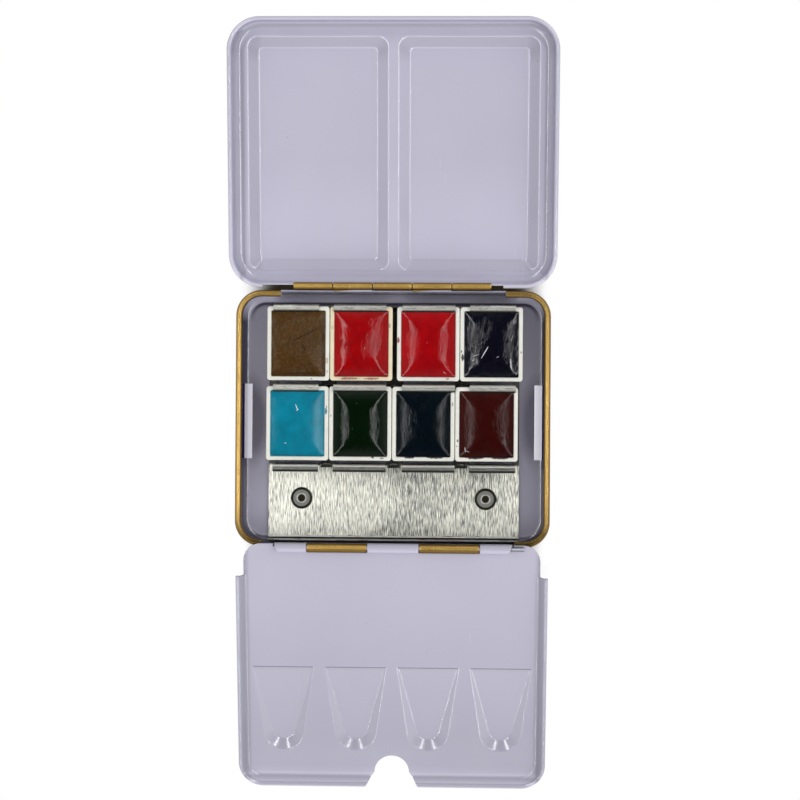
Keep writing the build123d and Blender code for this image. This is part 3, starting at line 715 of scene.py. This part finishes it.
def clip_finish(centre, normal):
    on_front_edge = centre.y < -0.0303
    on_bars = centre.z > 0.0102
    above_plate = centre.z > 0.00145
    # Painted shade on the bend of the front lip
    if on_front_edge:
        return "painted_shade" if normal.z < 0.85 else "spring"
    # Painted shade on the bars' ends and lower faces, and a darker copy on the faces towards the
    # front
    if on_bars:
        if normal.y < -0.68 or normal.y > 0.93 or abs(normal.x) > 0.5:
            return "painted_shade"
        front_row = centre.y < -0.0105
        if front_row:
            if normal.y > 0.35:
                return "spring"
            return "front" if normal.y > -0.3 else "painted_shade"
        return "front" if normal.y < -0.35 else "spring"
    # Painted shade on the webs under the bars, except low faces that look up
    if above_plate:
        low = centre.z < 0.0046
        return "spring" if low and normal.z > 0.3 and normal.y > -0.5 else "painted_shade"
    return "plate"


def rivet_finish(centre, normal):
    # Painted shade in the bore, on steep edges and outside the head; a painted highlight on the
    # ring round the bore
    out = math.hypot(abs(centre.x) - RIVET_X, centre.y - RIVET_Y)
    if normal.z < 0.15 or not RIVET_BORE <= out <= RIVET_EDGE:
        return "edge"
    return "rim" if out < RIVET_RIM else "head"


class TIN_OT_metal(bpy.types.Operator):
    """Coats the tray, lid, palette, clip plate, rivets and hinge pins"""

    bl_idname = "tin.metal"
    bl_label = "Coat the Metal"

    def execute(self, context):
        look = context.scene.metal_finish
        # Painted shade on the slopes: lighter on the palette and near the lid's hinge, darker at
        # the lid's far end and outer sides
        slope = enamel_material(
            look, "white enamel slope", look.enamel_slope, (
                ("Y", ((40, 1.16), (52, 1.0), (90, 1.0), (93, 0.87))),
                ("X", ((-35.0, 0.87), (-33.5, 1.0), (33.5, 1.0), (35.0, 0.88))),
            ),
        )
        bend = enamel_material(look, "white enamel bend", look.enamel_bend)
        # Painted light towards the lid's hinge, with the Lid shade group's painted shade
        lid_enamel = enamel_material(
            look, "lid enamel", look.enamel, (
                ("Y", ((40, 1.16), (66, 0.98))),
            ), shade="Lid shade",
        )
        # Painted highlight lines and painted shade bands along the palette's far bend and its
        # sides, darker towards its far edge
        palette_enamel = enamel_material(
            look, "palette enamel", look.enamel,
            (
                ("Y", (
                    (-94.9, 0.85), (-94.3, 1.2), (-93.2, 0.83), (-92.9, 0.85), (-92.3, 1.1),
                    (-91.6, 0.92), (-90, 0.84), (-82, 0.82), (-66, 0.89), (-45, 0.97),
                )),
                ("X", (
                    (-39.0, 0.95), (-38.4, 0.72), (-37.7, 0.66), (-37.1, 0.77), (-36.2, 1.0),
                    (36.2, 1.0), (37.0, 0.85), (37.4, 0.65), (37.8, 0.64), (39.0, 0.85),
                )),
            ),
        )
        tray_enamel = enamel_material(look, "tray enamel", look.enamel, tray=True)
        # Painted shade at the left tongue's outer edge, painted light on the rest
        tongue = enamel_material(
            look, "tongue enamel", look.tongue, (("X", ((-37.8, 0.6), (-37.0, 0.95), (0, 1.1))),)
        )
        # Painted shade on the tongues' slanted roots
        hidden = enamel_material(look, "enamel behind the tongues", look.gap, spec=0.1)
        # Painted shade in the palette's crease
        crease = enamel_material(look, "white enamel crease", [c * 0.42 for c in look.enamel])
        # Painted highlight on the top of the rolled edge, with painted shade towards the front
        # corners, the back and the right side
        rim = gold_material(look, "gold rim", look.rim, (
            ("Y", (
                (-32.5, 0.12), (-29.0, 0.25), (-25.5, 0.7), (-20, 0.95), (8, 1.0), (24, 0.82),
                (31, 0.55), (34, 0.48),
            )),
            ("X", ((0, 1.05), (36, 0.85))),
        ))
        # The gold and its painted copies: painted shade on flanks, darker painted shade, and
        # painted highlight
        golds = {
            "gold": gold_material(look, "gold lacquer", look.gold),
            "flank": gold_material(look, "gold lacquer flank", look.gold_shade_and_mottle),
            "painted_darkening": gold_material(look, "gold lacquer painted shade", [c * 0.5 for c in look.gold]),
            "painted_highlight": gold_material(look, "gold lacquer painted highlight", look.bright_gold),
        }
        painted_shade = spring_material("shaded sheet", look.painted_shade)
        coat("base_tray", {
            "enamel": tray_enamel, **golds, "tongue": tongue, "rim": rim, "hidden": hidden,
        }, tray_finish)
        coat("lid", {"enamel": lid_enamel, **golds, "slope": slope, "bend": bend}, lid_finish)
        coat(
            "palette", {"enamel": palette_enamel, "slope": slope, "crease": crease}, palette_finish
        )
        coat("clip_insert", {
            "plate": tinplate_material(look),
            "spring": spring_material("satin spring sheet", look.spring),
            "painted_shade": painted_shade,
            "front": spring_material("satin spring front", [c * 0.4 for c in look.spring]),
        }, clip_finish)
        coat("clip_rivets", {
            "head": spring_material("rivet steel", look.rivet, 0.4),
            "edge": spring_material("rivet edge", look.rivet_edge, 0.4),
            "rim": spring_material("rivet rim", [c * 2.2 for c in look.rivet], 0.4),
        }, rivet_finish)
        # Painted shade on all of the lid's pin and on the flanks of the palette's pin; the palette
        # pin's top is the lit copy
        coat("lid_hinge_pin", {"painted_shade": painted_shade})
        coat(
            "palette_hinge_pin", {"top": spring_material("pin steel", look.pin, 0.5), "painted_shade": painted_shade},
            lambda centre, normal: "painted_shade" if normal.z < 0.8 else "top",
        )
        return {"FINISHED"}


class TIN_OT_pans(bpy.types.Operator):
    """Finishes the eight half pans in off-white plastic with small paint marks"""

    bl_idname = "tin.pans"
    bl_label = "Finish the Pans"

    def execute(self, context):
        look = context.scene.paint_finish
        # Spots of each pan: colour, X and Y from the middle, half sizes in millimetres, strength
        red, brown, dark = (0.25, 0.01, 0.01), (0.35, 0.22, 0.08), (0.01, 0.01, 0.02)
        marks = (
            ((brown, (7.3, -4.4, 0.5, 0.9, 0.5)), (brown, (7.4, -7.2, 0.3, 0.5, 0.4)),
             (dark, (3.4, -9.0, 0.25, 0.2, 0.8))),
            ((red, (-3.2, -8.9, 2.6, 0.32, 0.75)), (red, (2.6, -8.9, 2.2, 0.3, 0.75)),
             (red, (7.2, 4.6, 0.3, 0.6, 0.5)), (brown, (-7.4, 4.0, 0.3, 0.7, 0.4))),
            ((red, (-7.6, 0.9, 0.35, 0.7, 0.9)), (red, (4.9, -8.9, 0.5, 0.3, 0.5))),
            ((dark, (-7.3, -3.4, 0.35, 1.0, 0.95)), (dark, (-7.6, -1.9, 0.2, 0.4, 0.8)),
             (dark, (7.5, -2.0, 0.2, 0.3, 0.6))),
            (((0.0, 0.2, 0.3), (7.3, 3.1, 0.35, 0.8, 0.95)), (dark, (7.5, 4.2, 0.15, 0.3, 0.7))),
            ((dark, (3.2, -8.6, 0.3, 0.35, 0.9)), (dark, (-7.5, 2.0, 0.15, 0.3, 0.6)),
             (dark, (5.6, -8.8, 0.6, 0.25, 0.7))),
            ((dark, (-3.5, -8.5, 1.6, 0.35, 0.9)), (dark, (3.0, -8.5, 2.4, 0.3, 0.9)),
             (dark, (7.4, 5.0, 0.2, 0.6, 0.6))),
            (((0.03, 0.005, 0.004), (-3.0, -8.45, 2.2, 0.45, 0.95)),
             ((0.03, 0.005, 0.004), (3.4, -8.45, 2.6, 0.4, 0.95)),
             (dark, (-7.3, -4.2, 0.25, 0.5, 0.8)), (dark, (-7.5, -5.6, 0.2, 0.2, 0.8))),
        )
        for index, spots in enumerate(marks, start=1):
            tint = look.cream_pan if index == 2 else look.pan
            centre = sum(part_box(f"pan_{index}"), Vector()) / 2
            mat = pan_material(f"pan plastic {index}", tint, centre, spots)
            coat(f"pan_{index}", {"plastic": mat})
        return {"FINISHED"}


class TIN_OT_paint(bpy.types.Operator):
    """Casts the eight cakes of dried paint"""

    bl_idname = "tin.paint"
    bl_label = "Cast the Paint"

    # Name, roughness, shine, dust, depth of the dish, height of the folds, strokes and patches.
    # Strokes and patches: X and Y from the middle, turn in degrees, half length, half width,
    # strength; lengths in millimetres. Strokes are pale, or dark where the strength is negative.
    cakes = (
        ("umber", 0.24, 0.1, 0.34, 0.5, 1.6, (
            (1.6, 2.2, 27, 4.6, 0.2, -0.9), (1.3, -1.0, -62, 1.0, 0.14, -0.9),
            (6.3, 0.0, 90, 8.0, 0.35, -0.55), (0.0, -7.6, 2, 6.4, 0.3, -0.5),
            (-5.4, 2.0, 80, 4.0, 0.1, -0.5), (2.6, -4.2, 20, 0.8, 0.07, -0.6),
        ), ((0.5, 2.0, 20, 6.5, 5.5, 0.9),)),
        ("scarlet", 0.09, 0.24, 0.03, 1.0, 1.7, ((0.8, -1.2, 60, 0.3, 0.08, 0.7),), (
            (2.6, 0.4, 60, 5.5, 2.4, 0.6), (3.6, 5.6, 20, 2.6, 1.4, 0.7),
        )),
        ("crimson", 0.1, 0.2, 0.02, 1.05, 0.8, ((4.2, -7.3, -40, 0.5, 0.1, 0.6),), (
            (-4.2, 0.0, 90, 4.0, 1.8, 0.4), (4.0, 0.5, 90, 3.5, 1.6, 0.5),
        )),
        ("navy", 0.1, 0.3, 0.06, 0.8, 2.2, (
            (-1.6, -1.9, 60, 1.9, 0.11, 1.0), (-3.9, -2.8, 20, 0.9, 0.08, 0.7),
            (5.0, -5.0, 95, 1.5, 0.1, 0.9), (5.2, 1.6, 75, 1.0, 0.07, 0.5),
            (-4.6, -4.0, 50, 0.5, 0.08, 0.7), (1.6, -3.2, 30, 0.4, 0.07, 0.6),
        ), ((-2.9, 2.4, 60, 5.5, 2.6, 0.6), (4.4, 1.0, 80, 5.0, 1.5, 0.6))),
        ("turquoise", 0.15, 0.17, 0.03, 0.5, 0.8, (
            # The turquoise's first two pale strokes, a V, are a painted glint
            (-0.3, 4.1, 110, 0.8, 0.12, 1.0), (-0.05, 3.4, 40, 0.4, 0.11, 1.0),
            (-3.1, -5.1, 10, 0.25, 0.1, 0.9),
        ), ()),
        ("green", 0.08, 0.2, 0.015, 1.15, 0.9, (), (
            (-3.9, 0.0, 90, 4.5, 1.4, 0.35), (3.9, -0.5, 90, 4.5, 1.4, 0.35),
        )),
        ("teal", 0.13, 0.12, 0.05, 0.8, 1.2, ((-3.6, 1.0, 85, 1.6, 0.05, 0.2),), (
            (-2.4, 0.5, 85, 5.0, 1.8, 0.35),
        )),
        ("maroon", 0.13, 0.13, 0.05, 0.95, 1.0, (
            (-5.4, -6.4, 100, 0.7, 0.09, 0.8), (-4.8, -6.9, -20, 0.6, 0.07, 0.7),
        ), ((3.6, 1.5, 90, 4.5, 2.6, 0.5), (-4.4, 0.0, 90, 4.5, 1.8, 0.4))),
    )
    slots = ("umber", "crimson", "crimson", "navy", "turquoise", "green", "teal", "maroon")
    # Rings from the outline to the middle, and rows of the grid along Y
    rings, rows = 32, 78
    # Width of the outline that stays level, and how far the cake goes down into its pan
    brim, skirt = 0.00035, 0.003
    # Kind, size, share of the wrinkle height and turbulence of the waves on the surface
    waves = (("CLOUDS", 0.0036, 1.0, None), ("MARBLE", 0.0024, 0.25, 5))

    def select_inside(self):
        """Selects everything but the outline."""
        bpy.ops.mesh.select_all(action="SELECT")
        bpy.ops.mesh.region_to_loop()
        bpy.ops.mesh.select_all(action="INVERT")

    def blank(self, look, low, high):
        """One cake at the first pan: a grid pressed down ring by ring, creased to its corners."""
        size, middle = high - low, (high + low) / 2
        clear_selection()
        bpy.ops.mesh.primitive_grid_add(
            x_subdivisions=2 * self.rings, y_subdivisions=self.rows, size=1,
            location=(middle.x, middle.y, high.z),
        )
        blank = bpy.context.object
        blank.scale = (size.x, size.y, 1)
        bpy.ops.object.transform_apply(location=True, rotation=False, scale=True)
        bpy.ops.object.mode_set(mode="EDIT")
        self.select_inside()
        step = size.x / 2 / self.rings
        for ring in range(self.rings - 1):
            fall = look.brink * (1 - ring / self.rings) ** 1.6
            bpy.ops.transform.translate(value=(0, 0, -fall * step))
            bpy.ops.mesh.select_less()
        self.select_inside()
        bpy.ops.mesh.vertices_smooth(factor=0.5, repeat=14)
        bpy.ops.object.mode_set(mode="OBJECT")
        group = blank.vertex_groups.new(name="surface")
        for vertex in blank.data.vertices:
            x, y = vertex.co.xy
            away = min(x - low.x, high.x - x, y - low.y, high.y - y)
            group.add([vertex.index], min(1.0, max(0.0, away / self.brim)), "REPLACE")
        return blank

    def wrinkle(self, cake, name, height):
        """Raises folds and fine wrinkles, none of them on the outline."""
        for kind, scale, part, turbulence in self.waves:
            texture = bpy.data.textures.new(f"{name} {kind}", kind)
            texture.noise_scale = scale
            if turbulence:
                texture.turbulence = turbulence
            wave = cake.modifiers.new(kind, "DISPLACE")
            wave.texture = texture
            wave.texture_coords = "LOCAL"
            wave.direction = "Z"
            wave.mid_level = 0.5
            wave.strength = height * part
            wave.vertex_group = "surface"
            bpy.ops.object.modifier_apply(modifier=wave.name)
        cake.vertex_groups.clear()

    def close(self):
        """Draws the outline down into the pan and closes the cake below."""
        bpy.ops.object.mode_set(mode="EDIT")
        bpy.ops.mesh.select_all(action="SELECT")
        bpy.ops.mesh.region_to_loop()
        bpy.ops.mesh.extrude_edges_move(
            TRANSFORM_OT_translate={"value": (0, 0, -self.skirt)}
        )
        bpy.ops.mesh.edge_face_add()
        bpy.ops.mesh.select_all(action="SELECT")
        bpy.ops.mesh.normals_make_consistent(inside=False)
        bpy.ops.object.mode_set(mode="OBJECT")
        bpy.ops.object.shade_smooth_by_angle(angle=math.radians(50))

    def execute(self, context):
        look = context.scene.paint_finish
        low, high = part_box("paint_1")
        home = (low + high) / 2
        blank = self.blank(look, low, high)
        for index, (cake_look, slot) in enumerate(zip(self.cakes, self.slots), start=1):
            name, gloss, shine, dust, dip, folds, strokes, patches = cake_look
            place = sum(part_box(f"paint_{index}"), Vector()) / 2
            mat = paint_material(
                f"{name} paint {index}", getattr(look, name), gloss, shine, dust, place, strokes,
                patches,
            )
            only(blank)
            bpy.ops.object.duplicate()
            cake = bpy.context.object
            cake.name = f"paint_cake_{index}"
            bpy.ops.object.mode_set(mode="EDIT")
            bpy.ops.mesh.select_all(action="SELECT")
            bpy.ops.transform.resize(value=(1, 1, dip), center_override=(0, 0, high.z))
            bpy.ops.transform.translate(value=(place.x - home.x, place.y - home.y, 0))
            bpy.ops.object.mode_set(mode="OBJECT")
            self.wrinkle(cake, name, folds * look.wrinkle)
            self.close()
            cake.data.materials.clear()
            cake.data.materials.append(mat)
            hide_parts(f"paint_{index}")
            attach(cake, "tray")
        bpy.data.objects.remove(blank)
        return {"FINISHED"}


class TIN_OT_stage(bpy.types.Operator):
    """Sets the white floor, the soft lamps, the room light and the camera"""

    bl_idname = "tin.stage"
    bl_label = "Set the Stage"

    # How far the floor lies below the tin, and how near a surface must be to darken it
    floor_gap, shade_reach = 0.00015, 0.03
    # Where the side lamps hang, and their length and width
    lamp_out, lamp_height, lamp_size = 0.43, 1.04, (1.9, 0.1)

    def floor(self):
        """A floor that looks evenly white, with a painted shadow only in the gap below the tin."""
        clear_selection()
        bpy.ops.mesh.primitive_plane_add(size=6, location=(0, 0, -self.floor_gap))
        ground = bpy.context.object
        ground.name = "floor"
        bpy.ops.object.transform_apply(location=True, rotation=False, scale=False)
        mat, tree, skin = material("white floor")
        skin.inputs["Base Color"].default_value = (0.8, 0.8, 0.8, 1)
        skin.inputs["Roughness"].default_value = 0.8
        skin.inputs["Specular IOR Level"].default_value = 0.1
        shade = add(tree, "ShaderNodeAmbientOcclusion", samples=32)
        feed(tree, self.shade_reach, shade.inputs["Distance"])
        glow = add(tree, "ShaderNodeEmission")
        lit = spread(tree, shade.outputs["AO"], 0.22, 0.5)
        feed(tree, mix(tree, lit, (0.02, 0.017, 0.01), (1, 1, 1)), glow.inputs["Color"])
        path = add(tree, "ShaderNodeLightPath")
        seen = number(tree, "MAXIMUM", path.outputs["Is Camera Ray"], path.outputs["Is Glossy Ray"])
        seen = number(tree, "MAXIMUM", seen, path.outputs["Is Transmission Ray"])
        blend = add(tree, "ShaderNodeMixShader")
        feed(tree, seen, blend.inputs[0])
        feed(tree, skin.outputs[0], blend.inputs[1])
        feed(tree, glow.outputs[0], blend.inputs[2])
        feed(tree, blend.outputs[0], tree.nodes["Material Output"].inputs["Surface"])
        ground.data.materials.append(mat)

    def lamp(self, name, across, power):
        """A long lamp aimed at the tin, seen in glossy surfaces only."""
        data = bpy.data.lights.new(name, "AREA")
        data.shape = "RECTANGLE"
        data.size, data.size_y = self.lamp_size
        data.energy = power
        made = bpy.data.objects.new(name, data)
        bpy.context.collection.objects.link(made)
        made.location = (across, 0.0, self.lamp_height)
        made.rotation_euler = (-made.location).to_track_quat("-Z", "Y").to_euler()
        made.visible_diffuse = False

    def ramp(self, tree, height, marks):
        """A grey level by the height of the direction looked in, 0 level and 1 overhead."""
        made = add(tree, "ShaderNodeValToRGB")
        made.color_ramp.interpolation = "EASE"
        elements = made.color_ramp.elements
        elements[0].color = (*[marks[0][1]] * 3, 1)
        elements[1].color = (*[marks[-1][1]] * 3, 1)
        for at, level in marks[1:-1]:
            elements.new(at).color = (level, level, level, 1)
        feed(tree, height, made.inputs[0])
        return made.outputs[0]

    def room(self, light):
        """White to the camera, brighter from front and right, dark overhead in glossy surfaces."""
        world = bpy.data.worlds.new("room")
        bpy.context.scene.world = world
        world.use_nodes = True
        tree = world.node_tree
        back = tree.nodes["Background"]
        x, y, height = split_place(tree, add(tree, "ShaderNodeTexCoord").outputs["Generated"])
        soft = self.ramp(tree, height, (
            (0.0, 0.8), (0.3, 0.9), (0.6, 1.15), (0.8, 1.3), (0.92, 1.2), (1.0, 0.9),
        ))
        gloss = light.room_gloss
        seen = self.ramp(tree, height, (
            (0.0, 0.9), (0.3, 0.9), (0.6, 0.9), (0.78, 0.4), (0.86, gloss), (0.94, gloss * 0.5),
            (1.0, gloss * 0.4),
        ))
        path = add(tree, "ShaderNodeLightPath")
        camera = number(
            tree, "MAXIMUM", path.outputs["Is Camera Ray"], path.outputs["Is Transmission Ray"]
        )
        shown = mix(tree, path.outputs["Is Glossy Ray"], soft, seen)
        feed(tree, mix(tree, camera, shown, (1, 1, 1)), back.inputs["Color"])
        plain = number(tree, "MAXIMUM", camera, path.outputs["Is Glossy Ray"])
        lean = number(tree, "MULTIPLY_ADD", y, -2.2, x)
        sky = number(tree, "MULTIPLY_ADD", lean, 0.28 * light.sky, light.sky)
        dim = number(tree, "MULTIPLY", number(tree, "SUBTRACT", 1.0, plain), sky)
        feed(tree, number(tree, "ADD", plain, dim), back.inputs["Strength"])

    def camera(self):
        """The photograph's camera: almost straight above, half a metre up."""
        data = bpy.data.cameras.new("photo camera")
        made = bpy.data.objects.new("photo camera", data)
        bpy.context.collection.objects.link(made)
        made.location = (0.01697, 0.00208, 0.48118)
        made.rotation_euler = [math.radians(angle) for angle in (0.34, 1.84, 0.38)]
        data.sensor_width = 36
        data.lens = 83.25
        data.clip_start = 0.01
        bpy.context.scene.camera = made

    def execute(self, context):
        light = context.scene.studio_light
        self.floor()
        self.lamp("left lamp", -self.lamp_out, light.side)
        self.lamp("right lamp", self.lamp_out, light.side)
        self.room(light)
        self.camera()
        context.scene.view_settings.view_transform = "Standard"
        return {"FINISHED"}


class TIN_PT_sidebar(bpy.types.Panel):
    bl_idname = "TIN_PT_sidebar"
    bl_label = "Watercolour Tin"
    bl_space_type = "VIEW_3D"
    bl_region_type = "UI"
    bl_category = "Watercolour Tin"

    def draw(self, context):
        for name, operators in (
            ("metal_finish", ("tin.metal",)),
            ("paint_finish", ("tin.pans", "tin.paint")),
            ("studio_light", ("tin.stage",)),
        ):
            box = self.layout.box()
            look = getattr(context.scene, name)
            for key in look.bl_rna.properties.keys():
                if key not in ("rna_type", "name"):
                    box.prop(look, key)
            for operator in operators:
                box.operator(operator)


CLASSES = (
    MetalFinish, PaintFinish, StudioLight, TIN_OT_metal, TIN_OT_pans, TIN_OT_paint, TIN_OT_stage,
    TIN_PT_sidebar,
)


def register():
    for cls in CLASSES:
        bpy.utils.register_class(cls)
    bpy.types.Scene.metal_finish = PointerProperty(type=MetalFinish)
    bpy.types.Scene.paint_finish = PointerProperty(type=PaintFinish)
    bpy.types.Scene.studio_light = PointerProperty(type=StudioLight)


def unregister():
    del bpy.types.Scene.studio_light
    del bpy.types.Scene.paint_finish
    del bpy.types.Scene.metal_finish
    for cls in reversed(CLASSES):
        bpy.utils.unregister_class(cls)


def main():
    register()
    grain_group()
    scratch_group()
    speck_group()
    tray_shade_group()
    lid_shade_group()
    bpy.ops.tin.metal()
    bpy.ops.tin.pans()
    bpy.ops.tin.paint()
    bpy.ops.tin.stage()


if __name__ == "__main__":
    main()
